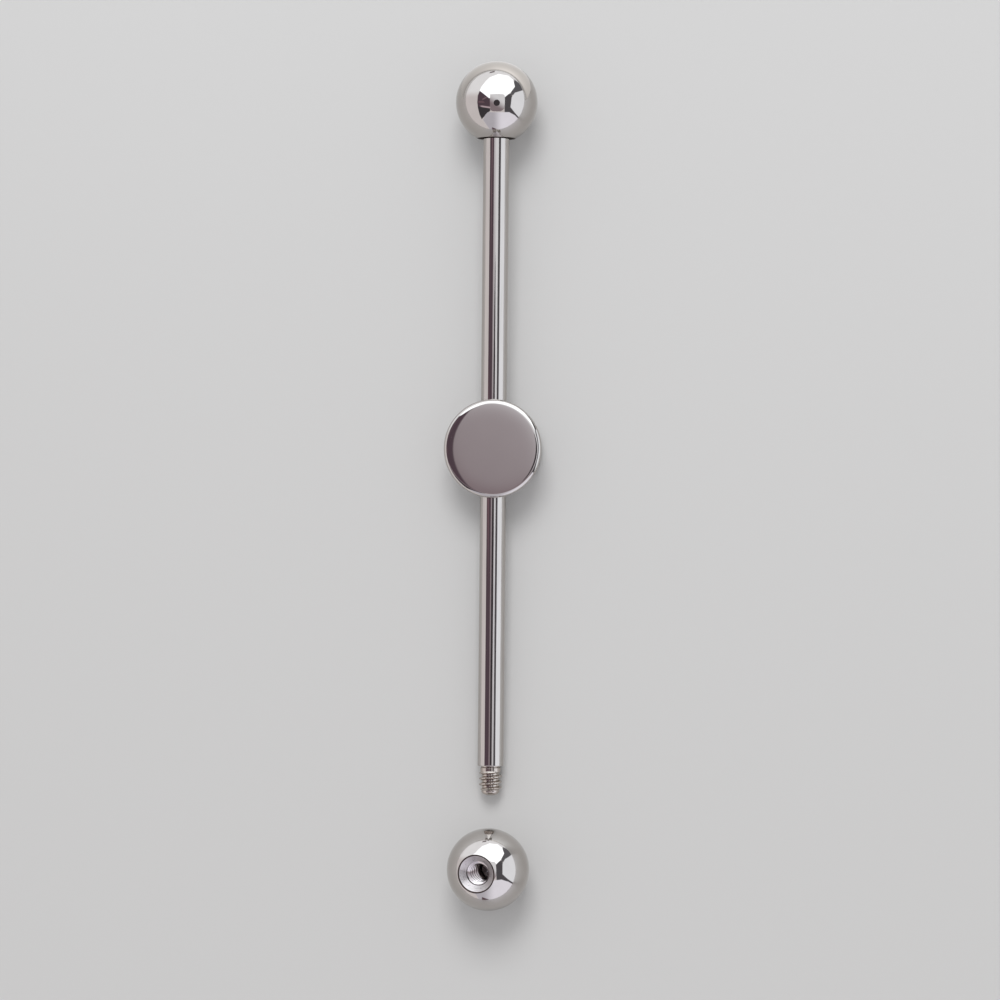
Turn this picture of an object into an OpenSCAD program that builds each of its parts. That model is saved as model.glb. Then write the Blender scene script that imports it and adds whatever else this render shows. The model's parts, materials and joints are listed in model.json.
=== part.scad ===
// Industrial barbell: a long straight bar with a round disc at its middle and a ball on each end.
// One ball is screwed on, and the other lies loose beside the bare threaded end, its hole facing up.
// Millimetres, +Z up. The barbell lies along Y on the surface z = 0, with the loose ball towards -Y.

/* [Bar] */
// Diameter of the smooth bar
bar_d = 1.6; // [1.2:0.1:2]
// Wearing length, between the mouths of two balls that are screwed home
wear_l = 38; // [28:1:45]
// Edge broken at each shoulder of the bar
shoulder_break = 0.05; // [0.02:0.01:0.12]

/* [Threaded ends] */
// Height of the shoulder, from the crests of the thread up to the smooth bar
shoulder_step = 0.1; // [0.05:0.01:0.15]
// Depth of the thread, crest to root
thread_depth = 0.18; // [0.12:0.01:0.22]
// Rise of the thread in one turn
thread_pitch = 0.35; // [0.3:0.01:0.5]
// Flat left on the crest of the thread
thread_crest = 0.06; // [0.03:0.01:0.08]
// Length of each threaded end, from the shoulder to the tip
stud_l = 1.8; // [1.4:0.1:2.2]
// Plain neck between the shoulder and the first thread
neck_l = 0.2; // [0.15:0.05:0.4]
// Taper at the tip of the threaded end
tip_taper = 0.15; // [0.05:0.05:0.3]

/* [Balls] */
// Diameter of the balls
ball_d = 5; // [4:0.5:8]
// Width of the countersunk mouth left showing round the smooth bar
mouth_margin = 0.4; // [0.25:0.05:0.6]
// Room round the thread, between its crests and the hole
thread_clearance = 0.05; // [0.03:0.01:0.08]
// Room between a shoulder of the bar and the countersink that it closes on
seat_gap = 0.05; // [0.02:0.01:0.15]
// Plain drilled hole left past the tip of the threaded end
hole_spare = 0.7; // [0.4:0.1:0.9]

/* [Disc] */
// Diameter of the disc at its front face
disc_d = 6; // [5:0.5:9]
// Amount that the side of the disc is drawn in all round towards its back face
disc_taper = 0.3; // [0:0.05:0.6]
// Thickness of the disc
disc_t = 3; // [2:0.1:4]
// Radius of the polished rounding round the front face
rim_round = 0.35; // [0.1:0.05:0.6]
// Edge broken round the back face
disc_back_break = 0.12; // [0.05:0.01:0.3]
// Reach of the solder along the bar, out from the disc's edge
solder_reach = 0.1; // [0.05:0.05:0.3]

/* [Loose ball] */
// Gap on the surface between the bare tip and the loose ball
loose_gap = 1.95; // [0.5:0.05:10]
// Place of the loose ball to the right of the bar's line
loose_shift = 0.15; // [-1:0.05:1]
// Lean of the loose ball's hole away from straight up
hole_tilt = 13; // [0:1:60]
// Turn of that lean from -X towards -Y
hole_turn = 24; // [0:1:90]

/* [Hidden] */
$fn = 64;

bar_r = bar_d / 2;
ball_r = ball_d / 2;
thread_r = bar_r - shoulder_step;
root_r = thread_r - thread_depth;
mouth_r = bar_r + mouth_margin;
disc_r = disc_d / 2;
disc_back_r = disc_r - disc_taper;

// A hole is a 90 degree countersink, the room for the thread, and the plain drilled hole past it.
bore_r = thread_r + thread_clearance;
drill_r = root_r + thread_clearance;
countersink_depth = mouth_r - bore_r;
seat_depth = mouth_r - bar_r - seat_gap;
mouth_to_centre = sqrt(ball_r * ball_r - mouth_r * mouth_r);
shoulder_to_centre = mouth_to_centre - seat_depth;
bore_depth = seat_depth + stud_l;
drill_point = drill_r / tan(59);
bar_l = wear_l + 2 * seat_depth;

// Both threads are trapezoid ridges wound on one helix, half a pitch apart.
flank_angle = 30;
ridge_root = 0.08;        // how far a ridge is sunk into the metal that carries it
flank_room = thread_clearance * 0.6;
ridge_steps = 24;         // flat steps in one turn
runout = 0.4;             // turns over which a ridge fades in and out
stud_thread_l = stud_l - neck_l - tip_taper;
hole_thread_start = countersink_depth - seat_depth + thread_pitch / 2;
hole_thread_l = stud_l - thread_pitch / 2 - hole_thread_start;

// The bar slopes down from the centre of its ball until a shoulder or the disc's back edge rests
// on the surface. Each may-rest point is [distance along the bar, depth below the bar's axis].
disc_reach = shoulder_to_centre + bar_l / 2;
may_rest = [
    [shoulder_to_centre + bar_l - shoulder_break, bar_r],
    [disc_reach + disc_back_r, disc_t / 2 - disc_back_break],
    [disc_reach + disc_back_r - disc_back_break, disc_t / 2]
];
bar_slope = min([for (p = may_rest) asin(ball_r / norm(p)) - atan(p[1] / p[0])]);
disc_height = ball_r - disc_reach * sin(bar_slope);
tip_reach = shoulder_to_centre + bar_l + stud_l;

// The side of the disc is tangent to the front rounding and runs in to the broken back edge.
rim_centre = [disc_r - rim_round, disc_t / 2 - rim_round];
back_edge = [
    [disc_back_r, disc_back_break - disc_t / 2],
    [disc_back_r - disc_back_break, -disc_t / 2]
];
side_run = back_edge[0] - rim_centre;
side_angle = atan2(side_run[1], side_run[0]) + acos(rim_round / norm(side_run));
side_top = rim_centre + rim_round * [cos(side_angle), sin(side_angle)];

// The disc leans about the bar until one side of its back edge rests on the surface.
function rim_height(roll) = disc_height + min([for (p = back_edge)
    p[1] * cos(bar_slope) * cos(roll) - p[0] * norm([sin(roll) * cos(bar_slope), sin(bar_slope)])]);
function roll_between(low, high, tries) =
    tries == 0 ? low
    : rim_height((low + high) / 2) > 0 ? roll_between((low + high) / 2, high, tries - 1)
    : roll_between(low, (low + high) / 2, tries - 1);
disc_lean = roll_between(0, 60, 30);

// The origin is under the middle of the whole barbell.
rim_left = rim_centre * [cos(disc_lean), sin(disc_lean)] + rim_round;
rim_right = rim_centre * [cos(disc_lean), -sin(disc_lean)] + rim_round;
axis_x = (max(rim_left, ball_r) - max(rim_right, ball_r)) / 2;
loose_reach = tip_reach * cos(bar_slope) + loose_gap + ball_r;
head_y = loose_reach / 2;

// One closed ridge wound on a helix: its section runs from an inner to an outer radius.
// fade goes from 0 at both ends of the ridge to 1 along it.
function fade(turn, turns) = min(1, turn / runout, (turns - turn) / runout);
function ring(turn, z, inner, inner_w, outer, outer_w) = let (a = 360 * turn) [
    [inner * cos(a), inner * sin(a), z - inner_w / 2],
    [outer * cos(a), outer * sin(a), z - outer_w / 2],
    [outer * cos(a), outer * sin(a), z + outer_w / 2],
    [inner * cos(a), inner * sin(a), z + inner_w / 2]
];
module wound_ridge(rings) {
    last = len(rings) - 1;
    points = [for (r = rings) each r];
    sides = [for (i = [0 : last - 1], j = [0 : 3])
        let (a = 4 * i + j, b = 4 * i + (j + 1) % 4)
        each [[a, b, b + 4], [a, b + 4, a + 4]]];
    ends = [[0, 3, 2], [0, 2, 1], [4 * last, 4 * last + 1, 4 * last + 2],
            [4 * last, 4 * last + 2, 4 * last + 3]];
    polyhedron(points = points, faces = concat(sides, ends), convexity = 6);
}

// Width of the stud's ridge at a radius, and of the ridge in the hole, which fits between its turns.
function stud_ridge_w(r) = thread_crest + 2 * (thread_r - r) * tan(flank_angle);
function hole_ridge_w(r) = thread_pitch - stud_ridge_w(r) - 2 * flank_room;

// Thread of a stud, from its neck to its tip; z = 0 is the shoulder.
module stud_ridge() {
    turns = stud_thread_l / thread_pitch;
    steps = round(turns * ridge_steps);
    base_r = root_r - ridge_root;
    wound_ridge([for (i = [0 : steps])
        let (turn = turns * i / steps, crest = base_r + (thread_r - base_r) * fade(turn, turns))
        ring(turn + neck_l / thread_pitch, neck_l + turn * thread_pitch,
            base_r, stud_ridge_w(root_r), max(crest, base_r + 0.01), thread_crest)]);
}

// Thread inside a ball, on the same helix as the stud's and half a pitch away.
module hole_ridge() {
    turns = hole_thread_l / thread_pitch;
    steps = round(turns * ridge_steps);
    base_r = bore_r + ridge_root;
    wound_ridge([for (i = [0 : steps])
        let (turn = turns * i / steps, z = hole_thread_start + turn * thread_pitch,
            crest = base_r - (base_r - drill_r) * fade(turn, turns))
        ring(z / thread_pitch - 0.5, z, min(crest, base_r - 0.01), hole_ridge_w(drill_r),
            base_r, hole_ridge_w(bore_r))]);
}

// Threaded end: a plain core with a tapered tip and the ridge; z = 0 is the shoulder.
module threaded_end() {
    core_l = stud_l - tip_taper;
    translate([0, 0, -ridge_root]) cylinder(r = root_r, h = core_l + ridge_root);
    translate([0, 0, core_l]) cylinder(r1 = root_r, r2 = root_r - tip_taper / 2, h = tip_taper);
    stud_ridge();
}

// Smooth bar with its broken shoulders; z = 0 is its middle.
module smooth_bar() {
    rotate_extrude() polygon([
        [0, -bar_l / 2],
        [bar_r - shoulder_break, -bar_l / 2],
        [bar_r, shoulder_break - bar_l / 2],
        [bar_r, bar_l / 2 - shoulder_break],
        [bar_r - shoulder_break, bar_l / 2],
        [0, bar_l / 2]
    ]);
}

// Disc with its flat front face towards +Y.
module disc() {
    rotate([-90, 0, 0]) rotate_extrude() {
        polygon(concat(
            [[0, disc_t / 2], [rim_centre[0], disc_t / 2], rim_centre, side_top],
            back_edge,
            [[0, -disc_t / 2]]
        ));
        intersection() {
            translate(rim_centre) circle(r = rim_round);
            translate(rim_centre - [0, rim_round / 2]) square(2 * rim_round);
        }
    }
}

// Solder drawn up round the bar on one side of the disc; it starts inside the disc.
module solder() {
    solder_l = solder_reach + bar_r * 0.6;
    translate([0, 0, disc_r + solder_reach - solder_l])
        cylinder(r1 = bar_r + solder_l / 2, r2 = bar_r, h = solder_l);
}

// The bar, the disc soldered on it and both threaded ends are one piece of metal.
module bar_with_disc() {
    color("lightsteelblue") on_surface() {
        smooth_bar();
        disc();
        for (side = [0, 180]) rotate([side, 0, 0]) {
            solder();
            translate([0, 0, bar_l / 2]) threaded_end();
        }
    }
}

// Ball with a countersunk, threaded hole; z = 0 is where the bar's shoulder seats.
module threaded_ball() {
    difference() {
        translate([0, 0, shoulder_to_centre]) sphere(r = ball_r);
        translate([0, 0, -seat_depth]) {
            cylinder(r = bore_r, h = bore_depth);
            cylinder(r = drill_r, h = bore_depth + hole_spare);
            translate([0, 0, bore_depth + hole_spare])
                cylinder(r1 = drill_r, r2 = 0, h = drill_point);
            translate([0, 0, -countersink_depth])
                cylinder(r1 = mouth_r + countersink_depth, r2 = bore_r, h = 2 * countersink_depth);
        }
    }
    hole_ridge();
}

// Puts the barbell's own frame, z along the bar and y out of the disc's face, on the surface.
module on_surface() {
    translate([axis_x, head_y, ball_r]) rotate([90 + bar_slope, 0, 0]) rotate([0, 0, disc_lean])
        translate([0, 0, disc_reach]) children();
}

module screwed_ball() {
    color("silver") on_surface() rotate([180, 0, 0]) translate([0, 0, bar_l / 2]) threaded_ball();
}

module loose_ball() {
    color("gainsboro") translate([axis_x + loose_shift, head_y - loose_reach, ball_r])
        rotate([0, 180 - hole_tilt, hole_turn]) translate([0, 0, -shoulder_to_centre])
            threaded_ball();
}

bar_with_disc();
screwed_ball();
loose_ball();
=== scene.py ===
import json
import math

import bpy
from mathutils import Matrix, Vector


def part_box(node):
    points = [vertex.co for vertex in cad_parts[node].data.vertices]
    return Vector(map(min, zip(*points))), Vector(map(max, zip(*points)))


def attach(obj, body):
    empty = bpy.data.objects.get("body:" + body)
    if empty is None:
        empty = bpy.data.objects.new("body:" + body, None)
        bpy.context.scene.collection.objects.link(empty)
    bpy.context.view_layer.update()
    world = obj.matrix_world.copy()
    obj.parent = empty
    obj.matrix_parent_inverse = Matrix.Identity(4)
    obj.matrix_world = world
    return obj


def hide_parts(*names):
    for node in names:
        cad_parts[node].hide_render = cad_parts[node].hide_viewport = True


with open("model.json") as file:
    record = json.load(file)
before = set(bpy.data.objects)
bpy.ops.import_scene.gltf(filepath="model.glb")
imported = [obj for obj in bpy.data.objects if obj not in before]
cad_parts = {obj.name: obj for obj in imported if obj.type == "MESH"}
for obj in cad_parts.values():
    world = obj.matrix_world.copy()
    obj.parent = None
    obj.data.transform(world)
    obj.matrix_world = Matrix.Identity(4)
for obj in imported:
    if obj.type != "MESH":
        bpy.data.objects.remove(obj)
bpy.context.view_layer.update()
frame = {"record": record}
MM = 0.001

# The bar
# A straight surgical steel rod, ground round and mirror polished, with its edges broken at
# both shoulders. It slopes down from its ball and lies on its bare end.
BAR_R = 0.8 * MM
BAR_L = 38.7 * MM
SHOULDER_BREAK = 0.05 * MM
BREAK_STEPS = 4
FLAT_MARGIN = 0.03 * MM
BALL_R = 2.5 * MM
BALL_TO_SHOULDER = 1.843 * MM
ROUND_SIDES = 128

mounts = {m["name"]: m for m in frame["record"]["mounts"]}
ball_low, ball_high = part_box("screwed_ball")
ball_centre = Vector(((ball_low.x + ball_high.x) / 2, ball_high.y - BALL_R, BALL_R))
along_bar = Vector(mounts["lower_bar"]["axis"]).normalized()
disc_normal = Vector(mounts["disc_face"]["axis"]).normalized()


def placed(x_axis, z_axis, origin):
    """The place of a piece that is modelled upright: where its X, its Z and its origin go."""
    y_axis = z_axis.cross(x_axis).normalized()
    turn = Matrix((y_axis.cross(z_axis), y_axis, z_axis)).transposed()
    return Matrix.Translation(origin) @ turn.to_4x4()


bar_place = placed(disc_normal, along_bar, ball_centre + along_bar * (BALL_TO_SHOULDER + BAR_L / 2))


def settle(piece, place):
    """Puts a finished piece in its place, with the place kept in its mesh."""
    bpy.ops.object.select_all(action="DESELECT")
    piece.select_set(True)
    bpy.context.view_layer.objects.active = piece
    piece.matrix_world = place
    bpy.ops.object.transform_apply(location=True, rotation=True, scale=True)


def spun(name, outline, sides):
    """Spins an outline of (radius, height) points round Z into a closed round body."""
    bpy.ops.object.select_all(action="DESELECT")
    bpy.ops.mesh.primitive_plane_add(size=MM)
    body = bpy.context.object
    body.name = name
    bpy.ops.object.mode_set(mode="EDIT")
    bpy.ops.mesh.select_all(action="SELECT")
    bpy.ops.mesh.merge(type="CENTER")
    bpy.ops.transform.translate(value=(outline[0][0], 0, outline[0][1]))
    for last, here in zip(outline, outline[1:]):
        step = (here[0] - last[0], 0, here[1] - last[1])
        bpy.ops.mesh.extrude_region_move(TRANSFORM_OT_translate={"value": step})
    bpy.ops.mesh.select_all(action="SELECT")
    bpy.ops.mesh.spin(steps=sides, angle=2 * math.pi, center=(0, 0, 0), axis=(0, 0, 1))
    bpy.ops.mesh.select_all(action="SELECT")
    bpy.ops.mesh.remove_doubles(threshold=1e-8)
    bpy.ops.mesh.normals_make_consistent(inside=False)
    bpy.ops.object.mode_set(mode="OBJECT")
    return body


half_outline = [(0.0, BAR_L / 2), (BAR_R - SHOULDER_BREAK - FLAT_MARGIN, BAR_L / 2)]
for step in range(BREAK_STEPS + 1):
    angle = math.pi / 2 * step / BREAK_STEPS
    radius = BAR_R - SHOULDER_BREAK * (1 - math.sin(angle))
    half_outline.append((radius, BAR_L / 2 - SHOULDER_BREAK * (1 - math.cos(angle))))
half_outline.append((BAR_R, BAR_L / 2 - SHOULDER_BREAK - FLAT_MARGIN))
bar = spun("polished_bar", half_outline + [(r, -z) for r, z in reversed(half_outline)], ROUND_SIDES)
settle(bar, bar_place)

# The threaded ends
# Each end of the rod is turned down and cut with a fine right-hand thread, duller than the
# polished bar, with a plain neck under the shoulder and a plain rounded tip.
THREAD_R = 0.7 * MM
ROOT_R = 0.52 * MM
PITCH = 0.35 * MM
CREST_FLAT = 0.06 * MM
FLANK_RUN = (THREAD_R - ROOT_R) * math.tan(math.radians(30))
STUD_L = 1.8 * MM
RELIEF_R = 0.56 * MM
RELIEF_L = 0.06 * MM
NECK_R = 0.62 * MM
NECK_L = 0.45 * MM
NECK_BLEND = 0.14 * MM
RUN_OUT = 0.2 * MM
DOME_R = 0.55 * MM
DOME_L = 0.27 * MM
DOME_POWER = 0.8
DOME_START = STUD_L - DOME_L
SUNK = 0.1 * MM
THREAD_ROWS = 140
DOME_ROWS = 14


def rise(x, start, end):
    """0 before start, 1 after end, and a smooth rise between them."""
    t = min(1.0, max(0.0, (x - start) / (end - start)))
    return t * t * (3.0 - 2.0 * t)


def ridge(height, turn, crest_flat=CREST_FLAT):
    """How far up its flank a point of the thread is: 0 at the root and 1 at the crest."""
    phase = (height / PITCH - turn + 0.5) % 1.0 - 0.5
    from_crest = abs(phase) * PITCH - crest_flat / 2
    slope = 1.0 - min(1.0, max(0.0, from_crest / FLANK_RUN))
    return 0.5 * slope + 0.5 * rise(slope, 0.0, 1.0)


def wrapped(name, sides, rows, point):
    """Wraps a grid into a closed round skin; point(row, turn) gives a radius and a height."""
    bpy.ops.object.select_all(action="DESELECT")
    bpy.ops.mesh.primitive_grid_add(x_subdivisions=sides, y_subdivisions=rows, size=2)
    skin = bpy.context.object
    skin.name = name
    for vertex in skin.data.vertices:
        turn = (vertex.co.x + 1) / 2
        row = round((vertex.co.y + 1) / 2 * rows)
        radius, height = point(row, turn)
        angle = 2 * math.pi * turn
        vertex.co = (radius * math.cos(angle), radius * math.sin(angle), height)
    bpy.ops.object.mode_set(mode="EDIT")
    bpy.ops.mesh.select_all(action="SELECT")
    bpy.ops.mesh.remove_doubles(threshold=1e-8)
    bpy.ops.mesh.normals_make_consistent(inside=False)
    bpy.ops.object.mode_set(mode="OBJECT")
    return skin


def stud_point(row, turn):
    """A point of the threaded end; height 0 is the shoulder, and the last rows round the tip."""
    if row == 0:
        return 0.0, -SUNK
    if row > THREAD_ROWS:
        angle = math.pi / 2 * (row - THREAD_ROWS) / DOME_ROWS
        return DOME_R * max(0.0, math.cos(angle)) ** DOME_POWER, DOME_START + DOME_L * math.sin(angle)
    height = (row - 1) / (THREAD_ROWS - 1) * (DOME_START + SUNK) - SUNK
    neck = RELIEF_R + (NECK_R - RELIEF_R) * rise(height, RELIEF_L, RELIEF_L * 2)
    past_neck = rise(height, NECK_L - NECK_BLEND, NECK_L)
    past_thread = rise(height, DOME_START - RUN_OUT, DOME_START)
    core = neck + (ROOT_R - neck) * past_neck
    core += (DOME_R - core) * past_thread
    cut = past_neck * (1 - past_thread)
    return core + (THREAD_R - ROOT_R) * cut * ridge(height, turn), height


studs = []
for end in (1, -1):
    stud = wrapped("threaded_end", ROUND_SIDES, THREAD_ROWS + DOME_ROWS, stud_point)
    shoulder = Matrix.Translation((0, 0, BAR_L / 2))
    settle(stud, bar_place @ Matrix.Rotation(0 if end == 1 else math.pi, 4, "X") @ shoulder)
    studs.append(stud)

# The disc
# A round steel disc as thick as the balls let it be, soldered on the middle of the bar. Its face
# is polished flat, rolls off a little near the rim, and turns down in a small rounding. It sits a
# tenth of a millimetre to the right of the bar's middle.
DISC_R = 3.0 * MM
DISC_T = 3.0 * MM
DISC_BACK_R = 2.7 * MM
SIDE_MARGIN = 0.03
BACK_BREAK = 0.12 * MM
BREAK_MIDDLE = 0.3
FACE_R = 2.7 * MM
FACE_ROLL = math.radians(3.0)
FACE_ROLL_POWER = 7
FACE_STEPS = 48
RIM_POWER = 1.2
RIM_STEPS = 40
DISC_SIDES = 256
DISC_SHIFT = 0.11 * MM


def face_outline():
    """The polished face, from its centre to where the rounding starts, in ever closer rings."""
    drop = math.tan(FACE_ROLL) * FACE_R / (FACE_ROLL_POWER + 1)
    points = []
    for step in range(FACE_STEPS + 1):
        out = (step / FACE_STEPS) ** 0.5
        points.append((FACE_R * out, DISC_T / 2 - drop * out ** (FACE_ROLL_POWER + 1)))
    return points


def rim_outline(start):
    """The rounding from the face down to the side, slow at first, as (radius, height) points."""
    points = [start]
    last_angle = FACE_ROLL
    for step in range(1, RIM_STEPS + 1):
        angle = FACE_ROLL + (math.pi / 2 - FACE_ROLL) * step / RIM_STEPS
        turned = (math.sin(angle) - math.sin(FACE_ROLL)) / (1 - math.sin(FACE_ROLL))
        radius = start[0] + (DISC_R - start[0]) * turned ** (1 / RIM_POWER)
        drop = (radius - points[-1][0]) * math.tan((angle + last_angle) / 2)
        points.append((radius, points[-1][1] - drop))
        last_angle = angle
    return points[1:]


disc_front = face_outline()
disc_front += rim_outline(disc_front[-1])
side_top = Vector(disc_front[-1])
side_end = Vector((DISC_BACK_R, BACK_BREAK - DISC_T / 2))
disc_back = [
    tuple(side_top.lerp(side_end, SIDE_MARGIN)),
    tuple(side_top.lerp(side_end, 1 - SIDE_MARGIN)),
    tuple(side_end),
    (DISC_BACK_R - BACK_BREAK * BREAK_MIDDLE, BACK_BREAK * BREAK_MIDDLE - DISC_T / 2),
    (DISC_BACK_R - BACK_BREAK, -DISC_T / 2),
    (DISC_BACK_R - BACK_BREAK - FLAT_MARGIN, -DISC_T / 2),
    (0.0, -DISC_T / 2),
]
disc = spun("soldered_disc", disc_front + disc_back, DISC_SIDES)
disc_centre = bar_place.translation + disc_normal.cross(along_bar) * DISC_SHIFT
settle(disc, placed(along_bar, disc_normal, disc_centre))

# The solder
# A thin collar of hard solder drawn up round the bar where it enters the disc, on both sides,
# polished with the rest so that no seam shows.
SOLDER_REACH = 0.03 * MM
SOLDER_L = 0.4 * MM
SOLDER_FLARE = 0.2 * MM
SOLDER_STEPS = 12

solder_outline = [(0.0, DISC_R + SOLDER_REACH - SOLDER_L)]
for step in range(SOLDER_STEPS + 1):
    part = step / SOLDER_STEPS
    flare = SOLDER_FLARE * (1 - part) ** 2
    solder_outline.append((BAR_R + flare, DISC_R + SOLDER_REACH - SOLDER_L * (1 - part)))
solder_outline.append((0.0, DISC_R + SOLDER_REACH))
collars = []
for end in (0, math.pi):
    collar = spun("solder_collar", solder_outline, ROUND_SIDES)
    settle(collar, bar_place @ Matrix.Rotation(end, 4, "X"))
    collars.append(collar)

# The barbell's steel
# The bar, its threaded ends, the disc and the solder are one piece of mirror polished steel. Fine
# draw lines run along the bar, and the cut threads are a little darker and rougher.
STEEL = (0.46, 0.43, 0.405)
THREAD_STEEL = (0.44, 0.39, 0.35)
POLISH_ROUGHNESS = 0.035
THREAD_ROUGHNESS = 0.16
GLOSS_SPREAD = 0.3
GRAIN_DETAIL = 4.0
GRAIN_LOW = 0.3
GRAIN_HIGH = 0.7
SMOOTH_ANGLE = math.radians(35)


def steel(name, colour, roughness, grain, spread, depth):
    """Steel with a grain of so many marks a metre along X, Y and Z.

    The grain varies the steel's tone by the spread, its gloss, and its height by the depth.
    """
    material = bpy.data.materials.new(name)
    material.use_nodes = True
    nodes = material.node_tree.nodes
    links = material.node_tree.links
    surface = nodes["Principled BSDF"]
    surface.inputs["Metallic"].default_value = 1.0
    place = nodes.new("ShaderNodeTexCoord")
    scaled = nodes.new("ShaderNodeMapping")
    scaled.inputs["Scale"].default_value = grain
    links.new(place.outputs["Object"], scaled.inputs["Vector"])
    noise = nodes.new("ShaderNodeTexNoise")
    noise.inputs["Scale"].default_value = 1.0
    noise.inputs["Detail"].default_value = GRAIN_DETAIL
    links.new(scaled.outputs["Vector"], noise.inputs["Vector"])
    tone = nodes.new("ShaderNodeValToRGB")
    tone.color_ramp.elements[0].position = GRAIN_LOW
    tone.color_ramp.elements[0].color = (*[c * (1 - spread) for c in colour], 1.0)
    tone.color_ramp.elements[1].position = GRAIN_HIGH
    tone.color_ramp.elements[1].color = (*[min(1.0, c * (1 + spread)) for c in colour], 1.0)
    links.new(noise.outputs["Fac"], tone.inputs["Fac"])
    links.new(tone.outputs["Color"], surface.inputs["Base Color"])
    gloss = nodes.new("ShaderNodeMapRange")
    gloss.inputs["To Min"].default_value = roughness * (1 - GLOSS_SPREAD)
    gloss.inputs["To Max"].default_value = roughness * (1 + GLOSS_SPREAD)
    links.new(noise.outputs["Fac"], gloss.inputs["Value"])
    links.new(gloss.outputs["Result"], surface.inputs["Roughness"])
    bump = nodes.new("ShaderNodeBump")
    bump.inputs["Strength"].default_value = 1.0
    bump.inputs["Distance"].default_value = depth
    links.new(noise.outputs["Fac"], bump.inputs["Height"])
    links.new(bump.outputs["Normal"], surface.inputs["Normal"])
    return material


bar_steel = steel("drawn_bar_steel", STEEL, POLISH_ROUGHNESS,
                  grain=(9000, 260, 9000), spread=0.05, depth=0.0006 * MM)
disc_steel = steel("polished_disc_steel", STEEL, POLISH_ROUGHNESS,
                   grain=(500, 500, 500), spread=0.015, depth=0.00005 * MM)
thread_steel = steel("cut_thread_steel", THREAD_STEEL, THREAD_ROUGHNESS,
                     grain=(6000, 6000, 6000), spread=0.08, depth=0.0003 * MM)
for piece in [bar] + collars:
    piece.data.materials.append(bar_steel)
disc.data.materials.append(disc_steel)
for stud in studs:
    stud.data.materials.append(thread_steel)
bpy.ops.object.select_all(action="DESELECT")
for piece in [bar, disc] + collars + studs:
    piece.select_set(True)
bpy.context.view_layer.objects.active = bar
bpy.ops.object.shade_smooth_by_angle(angle=SMOOTH_ANGLE)
bpy.ops.object.join()
bar.name = "barbell_with_soldered_disc"
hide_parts("bar_with_disc")
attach(bar, "root")

# The balls
# Solid steel balls turned round and mirror polished. Each is drilled, countersunk for the bar's
# shoulder and tapped with the thread of the bar's ends.
MOUTH_R = 1.14 * MM
MOUTH_BREAK = 0.05 * MM
MOUTH_BREAK_STEPS = 6
# how far past the mouth's edge the painted shade reaches
MOUTH_SHADE_OUTSIDE = 0.03 * MM
BORE_R = 0.75 * MM
DRILL_R = 0.57 * MM
SEAT_DEPTH = 0.35 * MM
HOLE_SPARE = 0.7 * MM
DRILL_ANGLE = math.radians(59)
BALL_STEPS = 96
BALL_SIDES = 192
HOLE_ROWS = 170
DRILLED_ROWS = 3
THREAD_FADES_IN = 0.12
THREAD_FADES_OUT = 0.96
HOLE_CREST = 0.06 * MM
TURNING_MARKS = 4
TURNING_DEPTH = 0.008 * MM
CONE_STEPS = 60
CONE_STEEL = (0.52, 0.48, 0.47)
CONE_ROUGHNESS = 0.3
# Near black steel as painted shade: it darkens the broken edge of each ball's mouth and the whole
# countersink of the screwed ball, where the gap round the bar lies in shade
MOUTH_SHADE_STEEL = (0.06, 0.045, 0.04)
MOUTH_SHADE_ROUGHNESS = 0.5
HOLE_ROUGHNESS = 0.1
mouth_height = math.sqrt(BALL_R ** 2 - MOUTH_R ** 2)
seat_height = mouth_height - (MOUTH_R - BORE_R)
thread_bottom = mouth_height - SEAT_DEPTH - STUD_L


def ball_outline():
    """The ball's half outline: round the outside, over the broken edge and down the countersink."""
    points = []
    edge_angle = math.asin(MOUTH_R / BALL_R)
    last_angle = edge_angle + MOUTH_BREAK / BALL_R
    for step in range(BALL_STEPS + 1):
        angle = math.pi + (last_angle - math.pi) * step / BALL_STEPS
        points.append((BALL_R * math.sin(angle), BALL_R * math.cos(angle)))
    outer = Vector(points[-1])
    edge = Vector((MOUTH_R, mouth_height))
    inner = edge + Vector((-1, -1)).normalized() * MOUTH_BREAK
    for step in range(1, MOUTH_BREAK_STEPS):
        t = step / MOUTH_BREAK_STEPS
        points.append(tuple(outer * (1 - t) ** 2 + edge * 2 * t * (1 - t) + inner * t ** 2))
    for step in range(CONE_STEPS + 1):
        t = step / CONE_STEPS
        mark = TURNING_DEPTH * (1 - math.cos(2 * math.pi * TURNING_MARKS * t)) / 2
        wall = inner.lerp(Vector((BORE_R, seat_height)), t)
        points.append((wall.x + mark, wall.y - mark))
    return points


def hole_point(row, turn):
    """A point of the tapped hole, whose ridge sinks as it turns, and of the drilled end past it."""
    threaded_rows = HOLE_ROWS - DRILLED_ROWS
    if row <= threaded_rows:
        part = row / threaded_rows
        height = seat_height + (thread_bottom - seat_height) * part
        from_shoulder = height - (mouth_height - SEAT_DEPTH)
        cut = rise(part, 0.0, THREAD_FADES_IN) * (1.0 - rise(part, THREAD_FADES_OUT, 1.0))
        tooth = ridge(from_shoulder, -turn + 0.5, HOLE_CREST)
        return BORE_R - (BORE_R - DRILL_R) * cut * tooth, height
    drilled = (DRILL_R, thread_bottom), (DRILL_R, thread_bottom - HOLE_SPARE)
    tip = (0.0, thread_bottom - HOLE_SPARE - DRILL_R / math.tan(DRILL_ANGLE))
    return (*drilled, tip)[row - threaded_rows - 1]


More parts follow.
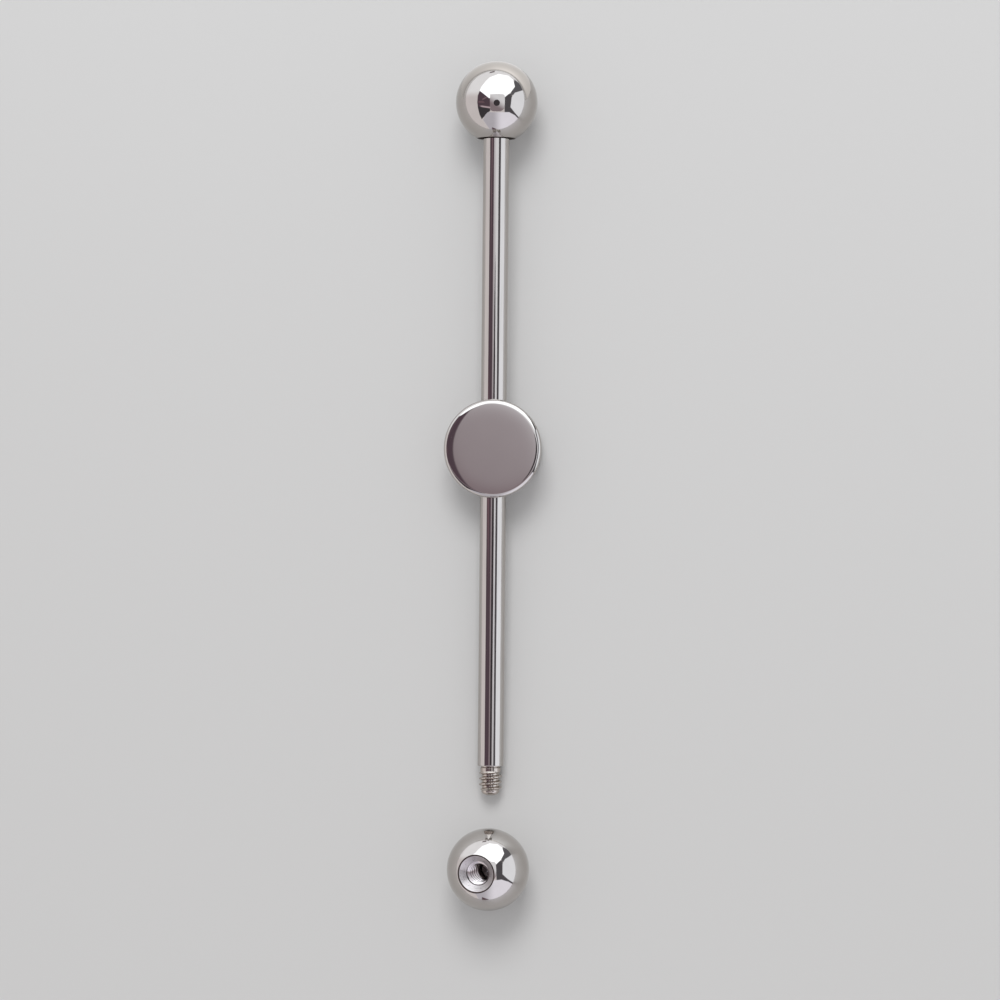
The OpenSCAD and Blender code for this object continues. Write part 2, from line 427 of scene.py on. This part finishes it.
ball_steel = steel("polished_ball_steel", STEEL, POLISH_ROUGHNESS,
                   grain=(1500, 1500, 1500), spread=0.02, depth=0.00002 * MM)
cone_steel = steel("turned_countersink_steel", CONE_STEEL, CONE_ROUGHNESS,
                   grain=(9000, 9000, 9000), spread=0.06, depth=0.0002 * MM)
mouth_shade_steel = steel("painted_mouth_shade", MOUTH_SHADE_STEEL, MOUTH_SHADE_ROUGHNESS,
                   grain=(9000, 9000, 9000), spread=0.1, depth=0.0002 * MM)
hole_steel = steel("tapped_hole_steel", CONE_STEEL, HOLE_ROUGHNESS,
                   grain=(6000, 6000, 6000), spread=0.06, depth=0.0001 * MM)


def ball(name, place, countersink):
    """A tapped ball, with the mouth of its hole towards its own Z."""
    body = spun(name, ball_outline(), BALL_SIDES)
    for finish in (ball_steel, mouth_shade_steel, countersink):
        body.data.materials.append(finish)
    # The mouth's broken edge gets the painted shade; the countersink inside it gets the steel passed in
    for face in body.data.polygons:
        inside_edge = MOUTH_R - face.center.xy.length
        if face.center.z > 0 and inside_edge > -MOUTH_SHADE_OUTSIDE:
            face.material_index = 1 if inside_edge < MOUTH_BREAK else 2
    hole = wrapped("tapped_hole", BALL_SIDES, HOLE_ROWS, hole_point)
    hole.data.materials.append(hole_steel)
    bpy.ops.object.select_all(action="DESELECT")
    body.select_set(True)
    hole.select_set(True)
    bpy.context.view_layer.objects.active = body
    bpy.ops.object.join()
    bpy.ops.object.mode_set(mode="EDIT")
    bpy.ops.mesh.select_all(action="SELECT")
    bpy.ops.mesh.remove_doubles(threshold=1e-8)
    bpy.ops.mesh.normals_make_consistent(inside=False)
    bpy.ops.object.mode_set(mode="OBJECT")
    bpy.ops.object.shade_smooth_by_angle(angle=SMOOTH_ANGLE)
    settle(body, place)
    body.name = name
    return body


# The screwed ball's countersink is painted near black too: painted shade where the bar's shoulder fills
# the mouth
screwed_ball = ball("screwed_on_ball", placed(disc_normal, along_bar, ball_centre), mouth_shade_steel)
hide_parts("screwed_ball")
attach(screwed_ball, "root")

loose_low, loose_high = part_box("loose_ball")
loose_centre = Vector(((loose_low.x + loose_high.x) / 2, loose_low.y + BALL_R, BALL_R))
hole_axis = Vector(mounts["ball_hole"]["axis"]).normalized()
loose_ball = ball("unscrewed_ball", placed(Vector((1, 0, 0)), hole_axis, loose_centre), cone_steel)
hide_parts("loose_ball")
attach(loose_ball, "root")

# The camera
# It looks down on the barbell from a quarter of a metre, a little to the right of plumb and a
# little towards the loose ball, as the reflections in the balls, the bar and the disc show.
AIM = Vector((0.453, -0.916, 1.6)) * MM
TO_CAMERA = Vector((0.124, -0.05, 0.991)).normalized()
DISTANCE = 250 * MM
ROLL = math.radians(0.831)
LENS = 147.43
CLIP_START = 5 * MM
CLIP_END = 20


def view_axes(towards, roll):
    """The picture's right and up for a camera that stands in that direction."""
    level = Vector((0, 1, 0)).cross(towards).normalized()
    raised = towards.cross(level)
    right = level * math.cos(roll) + raised * math.sin(roll)
    return right, towards.cross(right)


picture_right, picture_up = view_axes(TO_CAMERA, ROLL)
bpy.ops.object.camera_add()
camera = bpy.context.object
camera.matrix_world = placed(picture_right, TO_CAMERA, AIM + TO_CAMERA * DISTANCE)
camera.data.lens = LENS
camera.data.clip_start = CLIP_START
camera.data.clip_end = CLIP_END
bpy.context.scene.camera = camera

# The table
# A plain pale sheet that the barbell lies on, matt with a faint sheen.
PAPER = (0.58, 0.576, 0.574)
PAPER_ROUGHNESS = 0.35
TABLE_SIZE = 4

bpy.ops.mesh.primitive_plane_add(size=TABLE_SIZE)
table = bpy.context.object
table.name = "pale_table"
paper = bpy.data.materials.new("pale_paper")
paper.use_nodes = True
paper_surface = paper.node_tree.nodes["Principled BSDF"]
paper_surface.inputs["Base Color"].default_value = (*PAPER, 1.0)
paper_surface.inputs["Roughness"].default_value = PAPER_ROUGHNESS
table.data.materials.append(paper)

# The studio round the camera
# A tent of softboxes, white cards and dark gaps that the steel mirrors. They are laid out on a
# chart as they show in the screwed ball: x to the right and y up, in its radii.
TENT_R = 300 * MM
TENT_TONE = (187, 179, 177)
PICTURE_GAMMA = 2.2
SOFTBOX_GAIN = 1.15
to_lens = (AIM + TO_CAMERA * DISTANCE - ball_centre).normalized()
chart_right, chart_up = view_axes(to_lens, ROLL)


def mirrored(tone, gain=1.0):
    """The light that the steel has to mirror to show that tone of the picture, 0 to 255."""
    return tuple(gain * (c / 255) ** PICTURE_GAMMA / s for c, s in zip(tone, STEEL))


def glowing(name):
    """A material for a piece of the studio, with nothing in its node tree yet."""
    material = bpy.data.materials.new(name)
    material.use_nodes = True
    material.cycles.emission_sampling = "NONE"
    material.node_tree.nodes.clear()
    return material


def added(tree, kind, **settings):
    """A new node of the tree, with its settings."""
    node = tree.nodes.new(kind)
    for key, value in settings.items():
        setattr(node, key, value)
    return node


def fed(tree, socket, value):
    """Sets a socket to a number or a colour, or joins it to what another node gives."""
    if isinstance(value, (int, float)):
        socket.default_value = value
    elif isinstance(value, tuple):
        socket.default_value = (*value, 1.0)
    else:
        tree.links.new(value, socket)


def maths(tree, operation, *values):
    """One sum of numbers."""
    node = added(tree, "ShaderNodeMath", operation=operation)
    for socket, value in zip(node.inputs, values):
        fed(tree, socket, value)
    return node.outputs["Value"]


def arrow(tree, operation, first, second=None):
    """One sum of places or directions."""
    node = added(tree, "ShaderNodeVectorMath", operation=operation)
    tree.links.new(first, node.inputs[0])
    if second is not None:
        node.inputs[1].default_value = second
    return node.outputs


def fading(tree, value, start, end, first=0.0, last=1.0):
    """A smooth change from first to last while the value goes from start to end."""
    node = added(tree, "ShaderNodeMapRange", interpolation_type="SMOOTHSTEP")
    for name, number in (("From Min", start), ("From Max", end), ("To Min", first), ("To Max", last)):
        node.inputs[name].default_value = number
    tree.links.new(value, node.inputs["Value"])
    return node.outputs["Result"]


def laid(tree, under, over, mask):
    """One colour laid over another where the mask is 1."""
    node = added(tree, "ShaderNodeMix", data_type="RGBA")
    fed(tree, node.inputs["Factor"], mask)
    fed(tree, node.inputs[6], under)
    fed(tree, node.inputs[7], over)
    return node.outputs[2]


def glow(tree, colour):
    """A plain glow of that colour."""
    node = added(tree, "ShaderNodeEmission")
    fed(tree, node.inputs["Color"], colour)
    return node.outputs["Emission"]


def surfaced(tree, shader):
    """Gives the tree its surface."""
    tree.links.new(shader, added(tree, "ShaderNodeOutputMaterial").inputs["Surface"])


def only_mirrored(card):
    """Keeps a piece of the studio out of sight of all but mirrored light."""
    card.visible_camera = False
    card.visible_diffuse = False
    card.visible_shadow = False


tent_look = glowing("studio_tent")
tent_tree = tent_look.node_tree
tent_place = added(tent_tree, "ShaderNodeTexCoord").outputs["Object"]
from_ball = arrow(tent_tree, "SUBTRACT", tent_place, ball_centre)["Vector"]
sight = arrow(tent_tree, "NORMALIZE", from_ball)["Vector"]
halfway = arrow(tent_tree, "ADD", sight, to_lens)["Vector"]
mirror = arrow(tent_tree, "NORMALIZE", halfway)["Vector"]
chart_x = arrow(tent_tree, "DOT_PRODUCT", mirror, chart_right)["Value"]
chart_y = arrow(tent_tree, "DOT_PRODUCT", mirror, chart_up)["Value"]


def patch(corners, softness):
    """Where the chart is inside a convex outline, whose corners go clockwise."""
    inside = None
    for (x1, y1), (x2, y2) in zip(corners, corners[1:] + corners[:1]):
        length = math.hypot(x2 - x1, y2 - y1)
        across_x = (y2 - y1) / length
        across_y = (x1 - x2) / length
        depth = maths(tent_tree, "MULTIPLY_ADD", chart_x, across_x, -(across_x * x1 + across_y * y1))
        depth = maths(tent_tree, "MULTIPLY_ADD", chart_y, across_y, depth)
        inside = depth if inside is None else maths(tent_tree, "MINIMUM", inside, depth)
    return fading(tent_tree, inside, -softness / 2, softness / 2)


# each patch: its name, tone and softness, the patch that it stays within, and its corners
STUDIO = [
    ("upper wall", (214, 211, 211), 0.2, None,
     [(-0.75, 0.20), (-0.55, 0.95), (0.60, 0.95), (0.80, 0.45), (0.30, 0.25)]),
    ("dark gap", (75, 72, 74), 0.015, None,
     [(0.19, -0.26), (0.19, 0.17), (0.34, 0.215), (0.42, 0.05), (0.565, -0.40)]),
    ("dark corner", (87, 85, 87), 0.03, None,
     [(0.32, 0.15), (0.43, 0.55), (0.53, 0.48), (0.60, 0.40), (0.635, 0.32), (0.61, 0.27), (0.42, 0.19)]),
    ("dark door", (76, 63, 69), 0.02, None,
     [(-0.473, 0.0), (-0.46, 0.167), (-0.415, 0.276), (-0.16, 0.15), (-0.16, -0.20), (-0.364, -0.40),
      (-0.415, -0.292), (-0.455, -0.13)]),
    ("dark doorstep", (57, 54, 56), 0.03, "dark door",
     [(-0.50, -0.09), (-0.10, -0.145), (-0.10, -0.45), (-0.50, -0.45)]),
    ("door rail", (166, 147, 151), 0.02, "dark door",
     [(-0.41, -0.085), (-0.36, -0.076), (-0.08, -0.118), (-0.08, -0.155), (-0.36, -0.112)]),
    ("upper glint", (120, 100, 104), 0.03, "dark door",
     [(-0.35, 0.062), (-0.34, 0.088), (-0.25, 0.135), (-0.24, 0.115)]),
    ("lower glint", (106, 84, 88), 0.03, "dark door",
     [(-0.45, 0.0), (-0.44, 0.028), (-0.32, 0.022), (-0.30, -0.004)]),
    ("right panel", (211, 210, 212), 0.015, None,
     [(0.334, -0.115), (0.364, 0.127), (0.44, 0.234), (0.637, 0.294), (0.70, 0.158), (0.713, -0.024),
      (0.683, -0.206), (0.561, -0.388), (0.44, -0.25)]),
    ("lower panel", (211, 206, 212), 0.015, None,
     [(-0.334, -0.419), (-0.273, -0.297), (-0.212, -0.237), (0.30, -0.235), (0.44, -0.31),
      (0.531, -0.404), (0.41, -0.54), (0.197, -0.646), (0.015, -0.69), (-0.167, -0.66)]),
    ("shaded half", (166, 161, 166), 0.25, "lower panel",
     [(-0.70, -0.95), (-0.70, 0.10), (0.02, 0.10), (0.02, -0.95)]),
    ("foot mark", (84, 68, 72), 0.015, None,
     [(-0.115, -0.69), (-0.115, -0.60), (0.04, -0.66), (0.0, -0.70)]),
    ("top mark", (90, 78, 80), 0.015, None,
     [(-0.185, 0.705), (-0.16, 0.735), (-0.045, 0.765), (-0.055, 0.73)]),
    ("softbox", (255, 255, 255), 0.015, None,
     [(-0.41, 0.283), (-0.377, 0.37), (-0.268, 0.51), (-0.167, 0.607), (0.046, 0.689), (0.288, 0.643),
      (0.40, 0.54), (0.44, 0.38), (0.338, 0.244), (0.198, 0.13), (-0.185, 0.104)]),
]

studio_light = mirrored(TENT_TONE)
masks = {}
for name, tone, softness, within, corners in STUDIO:
    masks[name] = patch(corners, softness)
    if within:
        masks[name] = maths(tent_tree, "MULTIPLY", masks[name], masks[within])
    gain = SOFTBOX_GAIN if name == "softbox" else 1.0
    studio_light = laid(tent_tree, studio_light, mirrored(tone, gain), masks[name])
surfaced(tent_tree, glow(tent_tree, studio_light))
bpy.ops.mesh.primitive_uv_sphere_add(segments=64, ring_count=32, radius=TENT_R)
tent = bpy.context.object
tent.name = "studio_tent"
tent.data.materials.append(tent_look)
only_mirrored(tent)

# The lit table past the screwed ball
# The table is brightest a little past the screwed ball, whose upper edge mirrors it. That light is
# a thin card just over the table: it glows upwards, fades outwards, and is clear from below.
FAR_TABLE_LEFT = -26 * MM
FAR_TABLE_RIGHT = 42 * MM
FAR_TABLE_NEAR = 26.3 * MM
FAR_TABLE_FAR = 80 * MM
FAR_TABLE_LIFT = 0.05 * MM
GLOW_PLACE = Vector((8, 46, 0.05)) * MM
GLOW_R = 34 * MM
GLOW_MIDDLE = 1.6
GLOW_EDGE = 0.62


def stretched(card, left, right, low, high):
    """Puts the four corners of a new plane at those edges."""
    for corner in card.data.vertices:
        corner.co.x = left if corner.co.x < 0 else right
        corner.co.y = low if corner.co.y < 0 else high


far_look = glowing("lit_far_table")
far_tree = far_look.node_tree
far_place = added(far_tree, "ShaderNodeTexCoord").outputs["Object"]
from_glow = arrow(far_tree, "SUBTRACT", far_place, GLOW_PLACE)["Vector"]
from_glow_middle = arrow(far_tree, "LENGTH", from_glow)["Value"]
far_light = glow(far_tree, fading(far_tree, from_glow_middle, 0.0, GLOW_R, GLOW_MIDDLE, GLOW_EDGE))
far_clear = added(far_tree, "ShaderNodeBsdfTransparent").outputs["BSDF"]
from_below = added(far_tree, "ShaderNodeNewGeometry").outputs["Backfacing"]
far_sides = added(far_tree, "ShaderNodeMixShader")
for socket, value in zip(far_sides.inputs, (from_below, far_light, far_clear)):
    fed(far_tree, socket, value)
surfaced(far_tree, far_sides.outputs["Shader"])
bpy.ops.mesh.primitive_plane_add(size=1)
far_table = bpy.context.object
far_table.name = "lit_far_table"
stretched(far_table, FAR_TABLE_LEFT, FAR_TABLE_RIGHT, FAR_TABLE_NEAR, FAR_TABLE_FAR)
settle(far_table, Matrix.Translation((0, 0, FAR_TABLE_LIFT)))
far_table.data.materials.append(far_look)
only_mirrored(far_table)

# The camera's hood
# A pale card round the lens, with a shaded lower left corner, and the dark lens a little under its
# middle. Both stand just behind the camera, and only mirrored light sees them.
HOOD_BACK = 262 * MM
HOOD_LEFT = -90 * MM
HOOD_RIGHT = 110 * MM
HOOD_TOP = 110 * MM
HOOD_BOTTOM = -130 * MM
HOOD_TONE = (202, 199, 200)
HOOD_SHADE = (122, 109, 112)
SHADE_ANGLE = math.radians(58)
SHADE_FROM = -63 * MM
SHADE_TO = 60 * MM
LENS_BACK = 260 * MM
LENS_FRONT_R = 41 * MM
LENS_SIDES = 64
LENS_DROP = 6 * MM
LENS_TONE = (56, 52, 54)


def near_card(name, distance, look):
    """Names the card just added, dresses it and puts it behind the camera, facing the barbell."""
    card = bpy.context.object
    card.name = name
    settle(card, placed(picture_right, TO_CAMERA, AIM + TO_CAMERA * distance))
    card.data.materials.append(look)
    only_mirrored(card)


hood_look = glowing("camera_hood")
hood_tree = hood_look.node_tree
shade_way = -(picture_right * math.cos(SHADE_ANGLE) + picture_up * math.sin(SHADE_ANGLE))
shade_middle = AIM.dot(shade_way)
hood_place = added(hood_tree, "ShaderNodeTexCoord").outputs["Object"]
shade_depth = arrow(hood_tree, "DOT_PRODUCT", hood_place, shade_way)["Value"]
shade = fading(hood_tree, shade_depth, shade_middle + SHADE_FROM, shade_middle + SHADE_TO)
surfaced(hood_tree, glow(hood_tree, laid(hood_tree, mirrored(HOOD_TONE), mirrored(HOOD_SHADE), shade)))
bpy.ops.mesh.primitive_plane_add(size=1)
stretched(bpy.context.object, HOOD_LEFT, HOOD_RIGHT, HOOD_BOTTOM, HOOD_TOP)
near_card("camera_hood", HOOD_BACK, hood_look)

lens_look = glowing("camera_lens")
surfaced(lens_look.node_tree, glow(lens_look.node_tree, mirrored(LENS_TONE)))
bpy.ops.mesh.primitive_circle_add(vertices=LENS_SIDES, radius=LENS_FRONT_R, fill_type="NGON")
for corner in bpy.context.object.data.vertices:
    corner.co.y -= LENS_DROP
near_card("camera_lens", LENS_BACK, lens_look)

# The light
# A large soft lamp high over the far end, which throws soft shadows towards the loose ball, and
# the room's plain pale light. The steel mirrors the tent instead of them.
LAMP_PLACE = Vector((15, 340, 460)) * MM
LAMP_SIZE = 260 * MM
LAMP_POWER = 1.55
ROOM_LIGHT = (0.70, 0.70, 0.70)

bpy.ops.object.light_add(type="AREA")
lamp = bpy.context.object
lamp.data.shape = "SQUARE"
lamp.data.size = LAMP_SIZE
lamp.data.energy = LAMP_POWER
lamp.location = LAMP_PLACE
lamp.rotation_euler = LAMP_PLACE.to_track_quat("Z", "Y").to_euler()
lamp.visible_glossy = False
room = bpy.data.worlds.new("pale_room")
room.use_nodes = True
room.node_tree.nodes["Background"].inputs["Color"].default_value = (*ROOM_LIGHT, 1.0)
bpy.context.scene.world = room
bpy.context.scene.view_settings.view_transform = "Standard"
